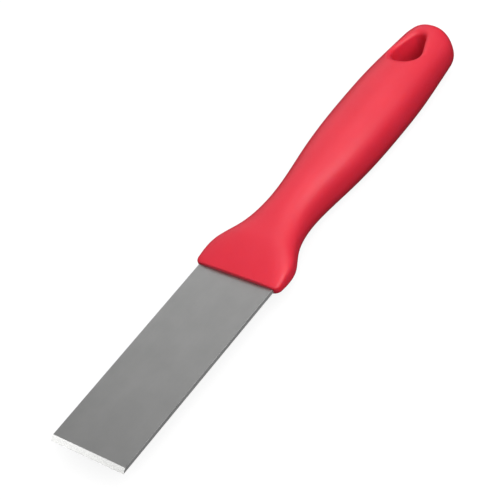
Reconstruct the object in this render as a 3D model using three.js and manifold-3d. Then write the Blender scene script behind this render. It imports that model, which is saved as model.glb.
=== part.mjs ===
// Hive tool of the scraper kind: a stainless strip blade, ground to a chisel edge, moulded into a
// solid polypropylene grip with a fishtail front and a drop-shaped hanging hole.
//
// Millimetres, +Z up. While a piece is being made, x runs back from the sharp edge, y across the
// blade and z up through it, with z = 0 at the middle of the blade's thickness. The finished tool
// is then moved so that its origin is the middle of its length, at the lowest point of the grip.

import * as THREE from 'three';
import { mergeVertices } from 'three/addons/utils/BufferGeometryUtils.js';
import Module from 'manifold-3d';

const wasm = await Module();
wasm.setup();

// Blade
const BLADE_WIDTH = 38;
const BLADE_THICKNESS = 1.5;
const BLADE_SHOWING = 93;          // from the sharp edge to the front of the handle
const BEVEL_LENGTH = 2;
const EDGE_THICKNESS = 0.2;        // the small flat left on the ground edge
const SHOULDER_DEPTH = 8;          // full-width blade held inside the fishtail
const SHOULDER_CHAMFER = 3;

// Tang, the narrow end of the blade inside the grip
const TANG_WIDTH = 14;
const TANG_REACH = 64;             // behind the front of the handle
const ANCHOR_HOLE_RADIUS = 3;
const ANCHOR_HOLES = [28, 50];     // behind the front of the handle
const MOULDING_GAP = 0.3;          // between the steel and the resin round it

// Handle: distance behind its front, half width and half thickness
const HANDLE_SECTIONS = [
  [0, 21.3, 2.5],
  [5, 21.3, 4.0],
  [9, 21.0, 5.1],
  [13, 20.0, 6.0],
  [17, 17.8, 6.8],
  [22, 14.8, 7.4],
  [28, 12.4, 8.1],
  [37, 10.6, 9.1],
  [49, 10.9, 10.2],
  [63, 12.9, 11.1],
  [79, 14.2, 11.9],
  [95, 14.5, 12.1],
  [111, 14.2, 11.8],
  [125, 13.05, 11.0],
  [145.4, 11.1, 9.4],
];
const HANDLE_LENGTH = 145.4;
const GRIP_HALF_THICKNESS = 12.1;
const FRONT_CORNER_RADIUS = 2.4;
const END_ROUND_LENGTH = 10;       // over which the outline closes at the hanging end
const END_ROUND_THICKNESS = 5.3;   // over which the thickness closes there
const END_SQUARENESS = 2.2;
const GRIP_SQUARENESS = 2.3;       // 2 is an ellipse, larger is squarer
const FRONT_SQUARENESS = 4.2;
const SQUARE_REACH = 15;           // how far back the square front fades out
const END_FLAT_DEPTH = 0.02;       // cut off the very tip, so that its last ring has some size
const HANDLE_SIDES = 44;
const HANDLE_STEPS = 60;

// Hanging hole, a drop with its narrow end to the back
const HOLE_FRONT_RADIUS = 6.6;
const HOLE_BACK_RADIUS = 3.4;
const HOLE_FRONT_CENTRE = 124.6;   // behind the front of the handle
const HOLE_BACK_CENTRE = 133.1;
const HOLE_SEGMENTS = 20;          // round each of its two arcs

const OVERALL_LENGTH = BLADE_SHOWING + HANDLE_LENGTH;
const CUT_MARGIN = 2;              // how far a cutting shape passes a surface

const steel = new THREE.MeshStandardMaterial({ color: 0x9a9a98, roughness: 0.38, metalness: 1 });
const redPolypropylene = new THREE.MeshStandardMaterial({
  color: 0xd8303c,
  roughness: 0.45,
  metalness: 0,
});

function toSolid(geometry) {
  const bare = geometry.clone();
  bare.deleteAttribute('normal');
  bare.deleteAttribute('uv');
  const merged = mergeVertices(bare);
  const vertProperties = new Float32Array(merged.attributes.position.array);
  const triVerts = new Uint32Array(merged.index.array);
  return new wasm.Manifold(new wasm.Mesh({ numProp: 3, vertProperties, triVerts }));
}

function toGeometry(solid) {
  const mesh = solid.getMesh();
  const geometry = new THREE.BufferGeometry();
  geometry.setAttribute('position', new THREE.BufferAttribute(mesh.vertProperties, 3));
  geometry.setIndex(new THREE.BufferAttribute(mesh.triVerts, 1));
  geometry.computeVertexNormals();
  return geometry;
}

function extrudeUp(shape, low, high, curveSegments = 16) {
  const geometry = new THREE.ExtrudeGeometry(shape, {
    depth: high - low,
    bevelEnabled: false,
    curveSegments,
  });
  return geometry.translate(0, 0, low);
}

// Plan outline of the blade with its tang. `grow` widens it all round, for the pocket in the resin.
function bladeOutline(front, grow) {
  const half = BLADE_WIDTH / 2 + grow;
  const tangHalf = TANG_WIDTH / 2 + grow;
  const shoulder = BLADE_SHOWING + SHOULDER_DEPTH + grow;
  const tangCentre = BLADE_SHOWING + TANG_REACH - TANG_WIDTH / 2;
  const outline = new THREE.Shape();
  outline.moveTo(front, -half);
  outline.lineTo(shoulder - SHOULDER_CHAMFER, -half);
  outline.lineTo(shoulder, -half + SHOULDER_CHAMFER);
  outline.lineTo(shoulder, -tangHalf);
  outline.absarc(tangCentre, 0, tangHalf, -Math.PI / 2, Math.PI / 2, false);
  outline.lineTo(shoulder, tangHalf);
  outline.lineTo(shoulder, half - SHOULDER_CHAMFER);
  outline.lineTo(shoulder - SHOULDER_CHAMFER, half);
  outline.lineTo(front, half);
  outline.closePath();
  for (const place of ANCHOR_HOLES) {
    const hole = new THREE.Path();
    hole.absarc(BLADE_SHOWING + place, 0, ANCHOR_HOLE_RADIUS - grow, 0, 2 * Math.PI, true);
    outline.holes.push(hole);
  }
  return outline;
}

// Wedge above the ground bevel, which slopes up from the sharp edge on the blade's top face.
function bevelCutter() {
  const top = BLADE_THICKNESS / 2;
  const wedge = new THREE.Shape();
  wedge.moveTo(0, -top + EDGE_THICKNESS);
  wedge.lineTo(BEVEL_LENGTH, top);
  wedge.lineTo(BEVEL_LENGTH, top + CUT_MARGIN);
  wedge.lineTo(-CUT_MARGIN, top + CUT_MARGIN);
  wedge.lineTo(-CUT_MARGIN, -top + EDGE_THICKNESS);
  wedge.closePath();
  const reach = BLADE_WIDTH / 2 + CUT_MARGIN;
  return extrudeUp(wedge, -reach, reach).rotateX(Math.PI / 2);
}

// The strip that shows and the end seated in the resin are two lengths of one blade, so that the
// strip's flat faces stop just short of the handle.
function makeBlade() {
  const half = BLADE_THICKNESS / 2;
  const seatFront = BLADE_SHOWING - MOULDING_GAP;
  const strip = new THREE.BoxGeometry(seatFront, BLADE_WIDTH, BLADE_THICKNESS);
  strip.translate(seatFront / 2, 0, 0);
  const seated = toSolid(extrudeUp(bladeOutline(seatFront, 0), -half, half));
  return toGeometry(toSolid(strip).subtract(toSolid(bevelCutter())).add(seated));
}

// Fraction of full size left at `distance` from an end that is rounded over `length`.
function roundEnd(distance, length) {
  const inward = THREE.MathUtils.clamp(1 - distance / length, 0, 1);
  return (1 - inward ** END_SQUARENESS) ** (1 / END_SQUARENESS);
}

function frontCorner(back) {
  const inward = Math.max(FRONT_CORNER_RADIUS - back, 0);
  return FRONT_CORNER_RADIUS - Math.sqrt(FRONT_CORNER_RADIUS ** 2 - inward ** 2);
}

// Point `share` of the way round (0 to 1) the section of the handle that is `back` from its front.
function handlePoint(back, halfWidth, halfThickness, share) {
  const fromEnd = HANDLE_LENGTH - back;
  const across = (halfWidth - frontCorner(back)) * roundEnd(fromEnd, END_ROUND_LENGTH);
  const up = halfThickness * roundEnd(fromEnd, END_ROUND_THICKNESS);
  const fade = Math.exp(-((back / SQUARE_REACH) ** 2));
  const power = 2 / THREE.MathUtils.lerp(GRIP_SQUARENESS, FRONT_SQUARENESS, fade);
  const cos = Math.cos(share * 2 * Math.PI);
  const sin = Math.sin(share * 2 * Math.PI);
  return new THREE.Vector3(
    BLADE_SHOWING + back,
    across * Math.sign(cos) * Math.abs(cos) ** power,
    up * Math.sign(sin) * Math.abs(sin) ** power,
  );
}

// A capped cylinder whose rings are laid on the handle's sections, closer together at both ends.
function handleBody() {
  const sections = HANDLE_SECTIONS.map((row) => new THREE.Vector3(...row));
  const profile = new THREE.CatmullRomCurve3(sections, false, 'centripetal');
  const body = new THREE.CylinderGeometry(1, 1, 1, HANDLE_SIDES, HANDLE_STEPS);
  const position = body.attributes.position;
  for (let i = 0; i < position.count; i += 1) {
    const along = (1 - Math.cos(Math.PI * (position.getY(i) + 0.5))) / 2;
    const radius = Math.hypot(position.getX(i), position.getZ(i));
    const share = Math.atan2(position.getX(i), position.getZ(i)) / (2 * Math.PI);
    const section = profile.getPoint(along);
    const back = Math.min(section.x, HANDLE_LENGTH - END_FLAT_DEPTH);
    const point = handlePoint(back, section.y, section.z, share);
    position.setXYZ(i, point.x, point.y * radius, point.z * radius);
  }
  return body;
}

// Plan outline of the hole: a wide arc in front and a tight one behind, joined by straight sides.
function dropOutline() {
  const apart = HOLE_BACK_CENTRE - HOLE_FRONT_CENTRE;
  const side = Math.acos((HOLE_FRONT_RADIUS - HOLE_BACK_RADIUS) / apart);
  const drop = new THREE.Shape();
  drop.absarc(apart, 0, HOLE_BACK_RADIUS, -side, side, false);
  drop.absarc(0, 0, HOLE_FRONT_RADIUS, side, 2 * Math.PI - side, false);
  drop.closePath();
  return drop;
}

function makeHandle() {
  const pocketHalf = BLADE_THICKNESS / 2 + MOULDING_GAP;
  const pocketOutline = bladeOutline(BLADE_SHOWING - CUT_MARGIN, MOULDING_GAP);
  const pocket = toSolid(extrudeUp(pocketOutline, -pocketHalf, pocketHalf));
  const holeReach = GRIP_HALF_THICKNESS + CUT_MARGIN;
  const hole = extrudeUp(dropOutline(), -holeReach, holeReach, HOLE_SEGMENTS);
  hole.translate(BLADE_SHOWING + HOLE_FRONT_CENTRE, 0, 0);
  return toGeometry(toSolid(handleBody()).subtract(pocket).subtract(toSolid(hole)));
}

const blade = new THREE.Mesh(makeBlade(), steel);
blade.name = 'blade';

const handle = new THREE.Mesh(makeHandle(), redPolypropylene);
handle.name = 'handle';

const tool = new THREE.Group();
tool.add(blade, handle);
tool.position.set(-OVERALL_LENGTH / 2, 0, GRIP_HALF_THICKNESS);

export default tool;
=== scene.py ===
"""A hive tool: a flat stainless scraper blade moulded into a solid red polypropylene grip.

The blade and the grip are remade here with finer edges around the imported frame. Lengths in the
modelling code are millimetres: x runs back along the tool, y across it and z up from the middle
of the blade's thickness. They become metres, in the frame's own place, as each mesh is made.
"""

import math

import bmesh
import bpy
import numpy as np
from mathutils import Matrix, Vector


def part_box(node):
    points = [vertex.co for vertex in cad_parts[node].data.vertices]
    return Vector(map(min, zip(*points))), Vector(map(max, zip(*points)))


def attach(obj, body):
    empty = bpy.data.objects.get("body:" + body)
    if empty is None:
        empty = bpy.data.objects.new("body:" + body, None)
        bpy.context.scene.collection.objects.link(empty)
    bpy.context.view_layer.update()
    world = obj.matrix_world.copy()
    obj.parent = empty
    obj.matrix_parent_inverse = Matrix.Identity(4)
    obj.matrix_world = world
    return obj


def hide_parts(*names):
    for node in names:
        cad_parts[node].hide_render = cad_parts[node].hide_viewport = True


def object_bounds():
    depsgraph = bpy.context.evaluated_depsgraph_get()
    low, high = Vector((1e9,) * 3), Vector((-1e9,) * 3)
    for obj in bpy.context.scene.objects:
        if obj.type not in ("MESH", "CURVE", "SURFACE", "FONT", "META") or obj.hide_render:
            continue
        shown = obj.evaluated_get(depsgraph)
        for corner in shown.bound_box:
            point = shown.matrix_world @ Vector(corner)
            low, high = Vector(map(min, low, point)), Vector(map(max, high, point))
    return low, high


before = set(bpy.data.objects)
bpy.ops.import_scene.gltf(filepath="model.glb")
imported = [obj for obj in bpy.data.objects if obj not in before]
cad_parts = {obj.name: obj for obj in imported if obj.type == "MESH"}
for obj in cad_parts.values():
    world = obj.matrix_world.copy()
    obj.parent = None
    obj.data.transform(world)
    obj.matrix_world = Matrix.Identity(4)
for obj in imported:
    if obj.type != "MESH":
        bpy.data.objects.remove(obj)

cad_low, cad_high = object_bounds()
blade_low, blade_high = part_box("blade")
handle_low, handle_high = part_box("handle")

MM = 0.001
HAIR = 0.03                        # how far the looks stay inside the CAD grip
BLADE_MID_Z = (blade_low.z + blade_high.z) / 2
HANDLE_FRONT = handle_low.x
HANDLE_LENGTH = (handle_high.x - handle_low.x) / MM - HAIR
HANDLE_HALF_WIDTH = (handle_high.y - handle_low.y) / 2 / MM - HAIR
HANDLE_HALF_THICKNESS = (handle_high.z - handle_low.z) / 2 / MM - HAIR

# ---------------------------------------------------------------------------- grip dimensions

# Distance behind the front of the handle, half width, half thickness.
SECTIONS = np.array([
    (0, 21.3, 2.5),
    (5, 21.3, 4.0),
    (9, 21.0, 5.1),
    (13, 20.0, 6.0),
    (17, 17.8, 6.8),
    (22, 14.8, 7.4),
    (28, 12.4, 8.1),
    (37, 10.6, 9.1),
    (49, 10.9, 10.2),
    (63, 12.9, 11.1),
    (79, 14.2, 11.9),
    (95, 14.5, 12.1),
    (111, 14.2, 11.8),
    (125, 13.05, 11.0),
    (145.4, 11.1, 9.4),
])
GRIP_SQUARENESS = 2.3              # 2 is an ellipse, larger is squarer
FRONT_SQUARENESS = 4.2
SQUARE_REACH = 15                  # how far back the square front fades out
FRONT_CORNER = 2.4                 # plan radius of the two front corners
FRONT_EDGE = 0.3                   # radius of the edge round the front face
END_ROUND_LENGTH = 10              # over which the outline closes at the hanging end
END_ROUND_THICKNESS = 5.3          # over which the thickness closes there
END_SQUARENESS = 2.2

HOLE_FRONT_RADIUS = 6.6            # of the wide front end of the drop-shaped hole
HOLE_BACK_RADIUS = 3.4
HOLE_FRONT_CENTRE = 124.6          # behind the front of the handle
HOLE_BACK_CENTRE = 133.1
LIP_RADIUS = 2.4                   # roll of the plastic into the hole

# Mesh density. Steps across the grip, and rings along it from front to back.
TOP_SHARE = 0.84                   # of the half width that the top and bottom strips cover
STRIP_STEPS = 32
SIDE_STEPS = 26
SIDE_SAMPLES = 2001                # fine points that the side's steps are chosen from
FRONT_EDGE_TURN = 15               # degrees between rings on the front edge
FRONT_CORNER_STEPS = 6
BODY_STEPS = 109
END_STEPS = 22
END_FLAT = 0.0005                  # left at the very tip, so that its last ring has some size

# Mesh density round the hole.
BLOCK_MARGIN = 3.6                 # patch of grid round the hole, past its ends
BLOCK_STEPS = 34
APRON_STEPS = 4                    # rings between the lip and the patch's border
LIP_STEPS = 10
WALL_STEPS = 10
TIGHT_SAMPLES = 60                 # fine points on half of each arc of the rim
WIDE_SAMPLES = 90

SEAT_CLEARANCE = 0.02              # between the steel and the resin


def spline(x, y):
    """Natural cubic spline through the points, as a function of an array."""
    count = len(x)
    step = np.diff(x)
    matrix = np.eye(count)
    right = np.zeros(count)
    for i in range(1, count - 1):
        matrix[i, i - 1:i + 2] = step[i - 1], 2 * (step[i - 1] + step[i]), step[i]
        right[i] = 6 * ((y[i + 1] - y[i]) / step[i] - (y[i] - y[i - 1]) / step[i - 1])
    bend = np.linalg.solve(matrix, right)

    def value(at):
        at = np.asarray(at, float)
        k = np.clip(np.searchsorted(x, at, side="right") - 1, 0, count - 2)
        low = (x[k + 1] - at) / step[k]
        high = (at - x[k]) / step[k]
        curve = (low ** 3 - low) * bend[k] + (high ** 3 - high) * bend[k + 1]
        return low * y[k] + high * y[k + 1] + curve * step[k] ** 2 / 6

    return value


width_curve = spline(SECTIONS[:, 0], SECTIONS[:, 1])
thickness_curve = spline(SECTIONS[:, 0], SECTIONS[:, 2])


def quarter_drop(distance, radius):
    """How far a quarter round of that radius lies below its top, by distance from its side."""
    inward = np.maximum(radius - distance, 0)
    return radius - np.sqrt(radius ** 2 - inward ** 2)


def round_end(distance, length):
    inward = np.clip(1 - distance / length, 0, 1)
    return (1 - inward ** END_SQUARENESS) ** (1 / END_SQUARENESS)


def section(back):
    """Half width, half thickness and squareness of the grip, by distance behind its front."""
    from_end = HANDLE_LENGTH - back
    edge = quarter_drop(back, FRONT_EDGE)
    corner = quarter_drop(back, FRONT_CORNER)
    width = np.minimum(width_curve(back), HANDLE_HALF_WIDTH) - corner - edge
    thickness = np.minimum(thickness_curve(back), HANDLE_HALF_THICKNESS) - edge
    fade = np.exp(-(back / SQUARE_REACH) ** 2)
    squareness = GRIP_SQUARENESS + (FRONT_SQUARENESS - GRIP_SQUARENESS) * fade
    return (
        width * round_end(from_end, END_ROUND_LENGTH),
        thickness * round_end(from_end, END_ROUND_THICKNESS),
        squareness,
    )


def top_height(back, across):
    """Height of the grip's upper surface at a place in plan."""
    width, thickness, squareness = section(back)
    share = np.clip(np.abs(across) / width, 0, 1)
    return thickness * (1 - share ** squareness) ** (1 / squareness)


def side_points(back):
    """(y, z) round the +Y side of a section, from the top strip to the bottom strip.

    They are spaced half by length and half by turning, so tight corners get their share.
    """
    width, thickness, squareness = (float(v) for v in section(back))
    start = math.acos(TOP_SHARE ** (squareness / 2))
    angle = np.linspace(start, -start, SIDE_SAMPLES)
    power = 2 / squareness
    y = width * np.cos(angle) ** power
    z = thickness * np.sign(angle) * np.abs(np.sin(angle)) ** power
    dy, dz = np.diff(y), np.diff(z)
    length = np.hypot(dy, dz)
    heading = np.unwrap(np.arctan2(dz, dy))
    turning = np.abs(np.gradient(heading))
    run = np.concatenate([[0], np.cumsum(length / length.sum() + turning / turning.sum())])
    wanted = np.linspace(0, run[-1], SIDE_STEPS + 1)
    return np.interp(wanted, run, y), np.interp(wanted, run, z)


def stations():
    """Distances behind the front at which the grip has a ring, and the patch's first and last."""
    edge = FRONT_EDGE * (1 - np.cos(np.radians(np.arange(0, 90, FRONT_EDGE_TURN))))
    corner = np.linspace(FRONT_EDGE, FRONT_CORNER, FRONT_CORNER_STEPS + 1)[:-1]
    patch_start = HOLE_FRONT_CENTRE - HOLE_FRONT_RADIUS - BLOCK_MARGIN
    patch_end = HOLE_BACK_CENTRE + HOLE_BACK_RADIUS + BLOCK_MARGIN
    body = np.linspace(FRONT_CORNER, patch_start, BODY_STEPS + 1)[:-1]
    patch = np.linspace(patch_start, patch_end, BLOCK_STEPS + 1)
    closing = np.linspace(1, 0, END_STEPS + 1)[1:] ** END_SQUARENESS
    end = HANDLE_LENGTH - (HANDLE_LENGTH - patch_end) * closing
    end[-1] = HANDLE_LENGTH - END_FLAT
    rows = np.concatenate([edge, corner, body, patch, end])
    first = len(edge) + len(corner) + len(body)
    return rows, first, first + BLOCK_STEPS


class Net:
    """Vertices and faces of a mesh, in millimetres behind the handle's front."""

    def __init__(self):
        self.points = []
        self.faces = []

    def row(self, x, y, z):
        start = len(self.points)
        x, y, z = np.broadcast_arrays(x, y, z)
        self.points += list(zip(x.tolist(), y.tolist(), z.tolist()))
        return list(range(start, start + len(x)))

    def bridge(self, one, two):
        for a, b, c, d in zip(one, one[1:], two[1:], two):
            self.faces.append((a, b, c, d))

    def mesh(self, name):
        mesh = bpy.data.meshes.new(name)
        mesh.from_pydata(self.points, [], self.faces)
        return mesh


def hole_rim(x, y):
    """Where lines to those places from the hole's middle cross its rim, and the way out there.

    The rim is two arcs, a wide one in front and a tight one behind, joined by straight sides.
    """
    apart = HOLE_BACK_CENTRE - HOLE_FRONT_CENTRE
    side = math.acos((HOLE_FRONT_RADIUS - HOLE_BACK_RADIUS) / apart)
    tight = np.linspace(0, side, TIGHT_SAMPLES)
    wide = np.linspace(side, math.pi, WIDE_SAMPLES)
    facing = np.concatenate([tight, wide])
    centre = np.where(np.arange(len(facing)) < len(tight), HOLE_BACK_CENTRE, HOLE_FRONT_CENTRE)
    radius = np.where(centre > HOLE_FRONT_CENTRE, HOLE_BACK_RADIUS, HOLE_FRONT_RADIUS)
    rim_x = centre + radius * np.cos(facing)
    rim_y = radius * np.sin(facing)
    middle = (HOLE_BACK_CENTRE + HOLE_FRONT_CENTRE) / 2
    headings = np.arctan2(rim_y, rim_x - middle)
    wanted = np.arctan2(np.abs(y), x - middle)
    facing = np.interp(wanted, headings, facing)
    half = np.where(y < 0, -1, 1)
    return (
        np.interp(wanted, headings, rim_x),
        np.interp(wanted, headings, rim_y) * half,
        np.cos(facing),
        np.sin(facing) * half,
    )


def hole_patch(net, border, sign):
    """Rings from a closed border of points down over the rolled lip, on the top or the bottom."""
    place = np.array([net.points[i] for i in border])
    rim_x, rim_y, out_x, out_y = hole_rim(place[:, 0], place[:, 1])
    lip_x, lip_y = rim_x + out_x * LIP_RADIUS, rim_y + out_y * LIP_RADIUS
    rings = [border]
    for i in range(1, APRON_STEPS):
        share = i / APRON_STEPS
        x = place[:, 0] + (lip_x - place[:, 0]) * share
        y = place[:, 1] + (lip_y - place[:, 1]) * share
        rings.append(net.row(x, y, sign * top_height(x, y)))
    for i in range(LIP_STEPS + 1):
        roll = math.radians(90) * (1 - i / LIP_STEPS)
        spread = LIP_RADIUS * (1 - math.cos(roll))
        drop = LIP_RADIUS * (1 - math.sin(roll))
        x, y = rim_x + out_x * spread, rim_y + out_y * spread
        rings.append(net.row(x, y, sign * (top_height(x, y) - drop)))
    for one, two in zip(rings, rings[1:]):
        net.bridge(one + one[:1], two + two[:1])
    return rings[-1]


def grip_mesh():
    """The grip with its hole, in the frame's place: strips, then the two patches, wall and caps."""
    rows, first, last = stations()
    net = Net()
    share = np.linspace(1, -1, STRIP_STEPS + 1) * TOP_SHARE
    tops, bottoms, lefts, rights = [], [], [], []
    for back in rows:
        width = float(section(back)[0])
        y = share * width
        z = top_height(back, y)
        side_y, side_z = side_points(back)
        top = net.row(back, y, z)
        right = net.row(back, -side_y[1:-1], side_z[1:-1])
        bottom = net.row(back, y, -z)
        left = net.row(back, side_y[1:-1], side_z[1:-1])
        tops.append(top)
        bottoms.append(bottom)
        lefts.append([top[0]] + left + [bottom[0]])
        rights.append([top[-1]] + right + [bottom[-1]])
    for i in range(len(rows) - 1):
        net.bridge(rights[i], rights[i + 1])
        net.bridge(lefts[i + 1], lefts[i])
        if not first <= i < last:
            net.bridge(tops[i], tops[i + 1])
            net.bridge(bottoms[i + 1], bottoms[i])
    walls = []
    for strips, sign in ((tops, 1), (bottoms, -1)):
        border = (
            strips[first][:-1]
            + [strips[i][-1] for i in range(first, last)]
            + strips[last][:0:-1]
            + [strips[i][0] for i in range(last, first, -1)]
        )
        walls.append(hole_patch(net, border, sign))
    upper = np.array([net.points[i] for i in walls[0]])
    lower = np.array([net.points[i] for i in walls[1]])
    ring = walls[0]
    for i in range(1, WALL_STEPS):
        between = upper + (lower - upper) * i / WALL_STEPS
        following = net.row(*between.T)
        net.bridge(ring + ring[:1], following + following[:1])
        ring = following
    net.bridge(ring + ring[:1], walls[1] + walls[1][:1])
    for i in (0, -1):
        net.faces.append(tops[i] + rights[i][1:-1] + bottoms[i][::-1] + lefts[i][-2:0:-1])
    mesh = net.mesh("grip")
    bm = bmesh.new()
    bm.from_mesh(mesh)
    bmesh.ops.recalc_face_normals(bm, faces=bm.faces)
    for face in bm.faces:
        face.smooth = len(face.verts) <= 4
    place = Matrix.Translation((HANDLE_FRONT, 0, BLADE_MID_Z)) @ Matrix.Scale(MM, 4)
    bm.transform(place)
    bm.to_mesh(mesh)
    bm.free()
    return mesh


# ------------------------------------------------------------------------------------- blade

EDGE_RADIUS = 0.05                 # broken edge along both sides of the blade
SHARP_EDGE = 0.05                  # height of the flat on the ground edge, less than in the CAD
WELD_DISTANCE = 0.002              # within which two vertices of the CAD mesh are one
FLAT_ANGLE = 1                     # degrees between triangles that are one flat face
EDGE_NEAR = 0.1                    # a vertex this close to the front, and this far up, is moved
SIDE_TOLERANCE = 0.01              # how close an edge is to the blade's side to belong to it
LONG_EDGE = 10                     # shorter edges of the blade's sides keep their corners
BEVEL_REACH = 2.1                  # just past the back of the ground bevel
BEVEL_RISE = 0.5                   # least upward part of the bevel's normal
BEVEL_LEAN = 0.1                   # least forward part of the bevel's normal
SIDE_LEAN = 0.3                    # least sideways part of a cut side's normal


def blade_body(grow=0.0):
    """The CAD blade as a clean mesh of flat faces, grown all round by that many millimetres."""
    bm = bmesh.new()
    bm.from_mesh(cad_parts["blade"].data)
    bmesh.ops.remove_doubles(bm, verts=bm.verts, dist=WELD_DISTANCE * MM)
    bmesh.ops.dissolve_limit(
        bm, angle_limit=math.radians(FLAT_ANGLE), verts=bm.verts, edges=bm.edges,
    )
    bmesh.ops.recalc_face_normals(bm, faces=bm.faces)
    if grow:
        moves = [(v, v.normal * v.calc_shell_factor() * grow * MM) for v in bm.verts]
        for vert, move in moves:
            vert.co += move
    for face in bm.faces:
        face.smooth = False
    return bm


def blade_mesh():
    """The blade with a finer sharp edge and its two long sides broken."""
    bm = blade_body()
    for vert in bm.verts:
        if vert.co.x < blade_low.x + EDGE_NEAR * MM and vert.co.z > blade_low.z + EDGE_NEAR * MM:
            vert.co.z = blade_low.z + SHARP_EDGE * MM
    half_width = (blade_high.y - blade_low.y) / 2
    sides = [
        e for e in bm.edges
        if len(e.link_faces) == 2
        and all(abs(abs(v.co.y) - half_width) < SIDE_TOLERANCE * MM for v in e.verts)
        and abs(e.verts[0].co.x - e.verts[1].co.x) > LONG_EDGE * MM
    ]
    bmesh.ops.bevel(
        bm, geom=sides, offset=EDGE_RADIUS * MM, segments=3, profile=0.5, affect="EDGES",
        clamp_overlap=True,
    )
    mesh = bpy.data.meshes.new("blade_look")
    bm.to_mesh(mesh)
    bm.free()
    return mesh


# --------------------------------------------------------------------------------- materials


def new_material(name):
    material = bpy.data.materials.new(name)
    material.use_nodes = True
    nodes = material.node_tree.nodes
    nodes.clear()
    output = nodes.new("ShaderNodeOutputMaterial")
    shader = nodes.new("ShaderNodeBsdfPrincipled")
    material.node_tree.links.new(shader.outputs["BSDF"], output.inputs["Surface"])
    return material, material.node_tree, shader


def noise(tree, scale, stretch=(1, 1, 1), detail=4, roughness=0.5):
    """Noise over the object, `scale` cells to the metre, stretched by a factor on each axis."""
    place = tree.nodes.new("ShaderNodeTexCoord")
    mapping = tree.nodes.new("ShaderNodeMapping")
    mapping.inputs["Scale"].default_value = stretch
    texture = tree.nodes.new("ShaderNodeTexNoise")
    texture.inputs["Scale"].default_value = scale
    texture.inputs["Detail"].default_value = detail
    texture.inputs["Roughness"].default_value = roughness
    tree.links.new(place.outputs["Object"], mapping.inputs["Vector"])
    tree.links.new(mapping.outputs["Vector"], texture.inputs["Vector"])
    return texture.outputs["Fac"]


def remap(tree, value, from_low, from_high, to_low, to_high):
    node = tree.nodes.new("ShaderNodeMapRange")
    for name, number in (
        ("From Min", from_low), ("From Max", from_high), ("To Min", to_low), ("To Max", to_high)
    ):
        node.inputs[name].default_value = number
    tree.links.new(value, node.inputs["Value"])
    return node.outputs["Result"]


def mix_colour(tree, factor, one, two):
    node = tree.nodes.new("ShaderNodeMix")
    node.data_type = "RGBA"
    tree.links.new(factor, node.inputs["Factor"])
    for socket, colour in ((node.inputs[6], one), (node.inputs[7], two)):
        if isinstance(colour, tuple):
            socket.default_value = (*colour, 1)
        else:
            tree.links.new(colour, socket)
    return node.outputs[2]


def bump(tree, height, depth, below=None):
    node = tree.nodes.new("ShaderNodeBump")
    node.inputs["Strength"].default_value = 1
    node.inputs["Distance"].default_value = depth
    tree.links.new(height, node.inputs["Height"])
    if below is not None:
        tree.links.new(below, node.inputs["Normal"])
    return node.outputs["Normal"]


def red_polypropylene():
    material, tree, shader = new_material("red_polypropylene")
    broad = noise(tree, 45, detail=3)
    tone = remap(tree, broad, 0.3, 0.7, 0, 1)
    colour = mix_colour(tree, tone, (0.66, 0.016, 0.040), (0.70, 0.021, 0.048))
    tree.links.new(colour, shader.inputs["Base Color"])
    rough = noise(tree, 900, detail=3)
    tree.links.new(remap(tree, rough, 0.3, 0.7, 0.43, 0.52), shader.inputs["Roughness"])
    spark = noise(tree, 2600, detail=2, roughness=0.6)
    flow = noise(tree, 120, stretch=(0.35, 1, 1), detail=2)
    normal = bump(tree, flow, 0.05 * MM)
    normal = bump(tree, spark, 0.02 * MM, normal)
    tree.links.new(normal, shader.inputs["Normal"])
    shader.inputs["IOR"].default_value = 1.49
    shader.inputs["Subsurface Weight"].default_value = 0.5
    shader.inputs["Subsurface Radius"].default_value = (1, 0.2, 0.15)
    shader.inputs["Subsurface Scale"].default_value = 3 * MM
    return material


def satin_steel():
    material, tree, shader = new_material("satin_steel")
    mottle = noise(tree, 90, detail=5, roughness=0.6)
    grain = noise(tree, 100, stretch=(1, 40, 1), detail=4, roughness=0.7)
    tone = remap(tree, mottle, 0.25, 0.75, 0, 1)
    colour = mix_colour(tree, tone, (0.39, 0.39, 0.387), (0.435, 0.435, 0.432))
    tree.links.new(colour, shader.inputs["Base Color"])
    tree.links.new(remap(tree, grain, 0.3, 0.7, 0.36, 0.46), shader.inputs["Roughness"])
    normal = bump(tree, grain, 0.01 * MM)
    tree.links.new(normal, shader.inputs["Normal"])
    shader.inputs["Metallic"].default_value = 1
    return material


def ground_steel():
    material, tree, shader = new_material("ground_steel")
    grind = noise(tree, 100, stretch=(4, 60, 4), detail=4, roughness=0.7)
    tone = remap(tree, grind, 0.3, 0.7, 0, 1)
    colour = mix_colour(tree, tone, (0.62, 0.62, 0.61), (0.72, 0.72, 0.71))
    tree.links.new(colour, shader.inputs["Base Color"])
    tree.links.new(remap(tree, grind, 0.3, 0.7, 0.24, 0.34), shader.inputs["Roughness"])
    tree.links.new(bump(tree, grind, 0.006 * MM), shader.inputs["Normal"])
    shader.inputs["Metallic"].default_value = 1
    return material


def sheared_steel():
    """The matt cut sides of the blade."""
    material, tree, shader = new_material("sheared_steel")
    tear = noise(tree, 400, stretch=(0.5, 1, 3), detail=4, roughness=0.7)
    tone = remap(tree, tear, 0.3, 0.7, 0, 1)
    colour = mix_colour(tree, tone, (0.55, 0.55, 0.55), (0.64, 0.64, 0.635))
    tree.links.new(colour, shader.inputs["Base Color"])
    tree.links.new(remap(tree, tear, 0.3, 0.7, 0.62, 0.74), shader.inputs["Roughness"])
    tree.links.new(bump(tree, tear, 0.02 * MM), shader.inputs["Normal"])
    shader.inputs["Metallic"].default_value = 1
    return material


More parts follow.
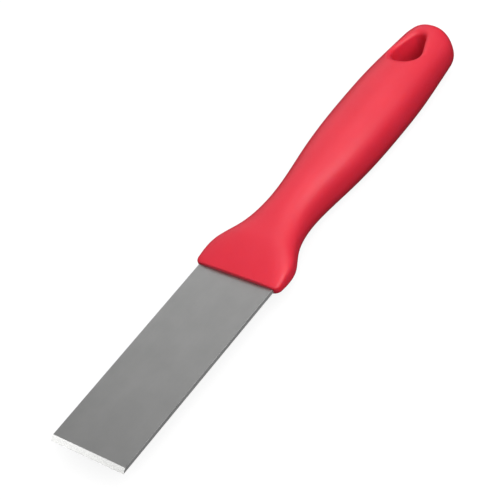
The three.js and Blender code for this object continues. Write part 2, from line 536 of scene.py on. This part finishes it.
def pale_floor():
    material, tree, shader = new_material("pale_floor")
    colour = mix_colour(tree, noise(tree, 3, detail=2), (0.17, 0.17, 0.17), (0.18, 0.18, 0.18))
    tree.links.new(colour, shader.inputs["Base Color"])
    shader.inputs["Emission Color"].default_value = (1, 1, 1, 1)
    shader.inputs["Emission Strength"].default_value = 0.86
    shader.inputs["Roughness"].default_value = 0.9
    shader.inputs["Specular IOR Level"].default_value = 0.1
    return material


# ------------------------------------------------------------------------------------ pieces


def add_object(name, mesh, *materials):
    piece = bpy.data.objects.new(name, mesh)
    bpy.context.scene.collection.objects.link(piece)
    for material in materials:
        mesh.materials.append(material)
    return piece


def cut(piece, cutter):
    """Takes the cutter's volume out of the piece, and the cutter out of the scene."""
    modifier = piece.modifiers.new("cut", "BOOLEAN")
    modifier.object = cutter
    modifier.operation = "DIFFERENCE"
    modifier.solver = "EXACT"
    bpy.context.view_layer.update()
    view = bpy.context.evaluated_depsgraph_get()
    result = bpy.data.meshes.new_from_object(piece.evaluated_get(view))
    piece.modifiers.clear()
    piece.data = result
    bpy.data.objects.remove(cutter)


grip = add_object("grip", grip_mesh(), red_polypropylene())
seat_body = blade_body(grow=SEAT_CLEARANCE)
seat_mesh = bpy.data.meshes.new("seat")
seat_body.to_mesh(seat_mesh)
seat_body.free()
cut(grip, add_object("seat", seat_mesh))
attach(grip, "root")
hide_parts("handle")

blade = add_object("blade_steel", blade_mesh(), satin_steel(), ground_steel(), sheared_steel())
bevel_back = blade_low.x + BEVEL_REACH * MM
GROUND, SHEARED = 1, 2             # places in the blade's list of materials
for polygon in blade.data.polygons:
    normal = polygon.normal
    if polygon.center.x < bevel_back and normal.z > BEVEL_RISE and normal.x < -BEVEL_LEAN:
        polygon.material_index = GROUND
    elif abs(normal.y) > SIDE_LEAN:
        polygon.material_index = SHEARED
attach(blade, "root")
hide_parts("blade")

# ------------------------------------------------------------------------------ floor and light

# The floor glows, to look nearly white, and is hidden from diffuse and glossy rays, so that the
# tool neither mirrors it nor is lit by what bounces off it.
FLOOR_SIZE = 12.0
FLOOR_GAP = 0.05                   # below the lowest point of the CAD
floor_mesh = bpy.data.meshes.new("floor")
corner = FLOOR_SIZE / 2
floor_mesh.from_pydata(
    [(-corner, -corner, 0), (corner, -corner, 0), (corner, corner, 0), (-corner, corner, 0)],
    [], [(0, 1, 2, 3)],
)
floor = add_object("floor", floor_mesh, pale_floor())
floor.location.z = cad_low.z - FLOOR_GAP * MM
floor.visible_diffuse = False
floor.visible_glossy = False


SOFTBOX_DISTANCE = 1.0


def softbox(name, heading, size, power):
    """A square area light that faces the origin from the direction of heading."""
    data = bpy.data.lights.new(name, "AREA")
    data.shape = "SQUARE"
    data.size = size
    data.energy = power
    lamp = bpy.data.objects.new(name, data)
    bpy.context.scene.collection.objects.link(lamp)
    towards = Vector(heading).normalized()
    lamp.location = towards * SOFTBOX_DISTANCE
    lamp.rotation_euler = towards.to_track_quat("Z", "Y").to_euler()
    return lamp


key_light = softbox("key", (0.02, -0.67, 0.74), 0.8, 9.5)
softbox("front", (-0.66, -0.38, 0.65), 0.5, 2.0)
softbox("overhead", (0.42, 0.08, 0.90), 0.6, 2.2)
softbox("back", (0.50, 0.74, 0.45), 0.6, 1.1)
softbox("edge", (-0.53, 0.645, 0.55), 0.35, 1.0)
side_light = softbox("side", (0.36, -0.93, 0.10), 0.4, 4.5)

# The key light is kept off the flat steel, which would mirror it as one white glare from behind.
# A low light from the same side, for the steel alone, takes its place on the blade's cut side.
for lamp, lit in ((key_light, (grip, floor)), (side_light, (blade,))):
    receivers = bpy.data.collections.new("lit_by_" + lamp.name)
    for piece in lit:
        receivers.objects.link(piece)
    lamp.light_linking.receiver_collection = receivers

# The camera sees a plain white backdrop. Every other ray sees a dim room that is brightest
# overhead, a little towards the hanging end.
ROOM_BRIGHT_SIDE = Vector((0.35, -0.15, 0.93)).normalized()
ROOM_DIM = 0.03
ROOM_BRIGHT = 0.26

world = bpy.data.worlds.new("studio")
bpy.context.scene.world = world
world.use_nodes = True
tree = world.node_tree
tree.nodes.clear()
world_out = tree.nodes.new("ShaderNodeOutputWorld")
room = tree.nodes.new("ShaderNodeBackground")
backdrop = tree.nodes.new("ShaderNodeBackground")
chooser = tree.nodes.new("ShaderNodeMixShader")
rays = tree.nodes.new("ShaderNodeLightPath")
direction = tree.nodes.new("ShaderNodeTexCoord")
along = tree.nodes.new("ShaderNodeVectorMath")
along.operation = "DOT_PRODUCT"
along.inputs[1].default_value = ROOM_BRIGHT_SIDE
tree.links.new(direction.outputs["Generated"], along.inputs[0])
glow = remap(tree, along.outputs["Value"], -0.2, 0.6, ROOM_DIM, ROOM_BRIGHT)
tree.links.new(glow, room.inputs["Strength"])
backdrop.inputs["Strength"].default_value = 1.0
room.inputs["Color"].default_value = (1, 1, 1, 1)
backdrop.inputs["Color"].default_value = (1, 1, 1, 1)
tree.links.new(rays.outputs["Is Camera Ray"], chooser.inputs["Fac"])
tree.links.new(room.outputs["Background"], chooser.inputs[1])
tree.links.new(backdrop.outputs["Background"], chooser.inputs[2])
tree.links.new(chooser.outputs["Shader"], world_out.inputs["Surface"])

bpy.context.scene.view_settings.view_transform = "Standard"

# ------------------------------------------------------------------------------------ camera

CAMERA_AIM = Vector((-12.03, 3.79, 12.1)) * MM
CAMERA_DISTANCE = 0.70515
CAMERA_TURN = -34.6846             # degrees from looking along +Y
CAMERA_DOWN = 41.7425              # degrees below level
CAMERA_ROLL = -25.0625
CAMERA_LENS = 129.894
CAMERA_SENSOR = 36
CAMERA_CLIP_START = 0.01

camera_data = bpy.data.cameras.new("camera")
camera_data.lens = CAMERA_LENS
camera_data.sensor_width = CAMERA_SENSOR
camera_data.clip_start = CAMERA_CLIP_START
camera = bpy.data.objects.new("camera", camera_data)
bpy.context.scene.collection.objects.link(camera)
aim = (
    Matrix.Rotation(math.radians(CAMERA_TURN), 4, "Z")
    @ Matrix.Rotation(math.radians(90 - CAMERA_DOWN), 4, "X")
    @ Matrix.Rotation(math.radians(CAMERA_ROLL), 4, "Z")
)
standing_back = Matrix.Translation((0, 0, CAMERA_DISTANCE))
camera.matrix_world = Matrix.Translation(CAMERA_AIM) @ aim @ standing_back
bpy.context.scene.camera = camera
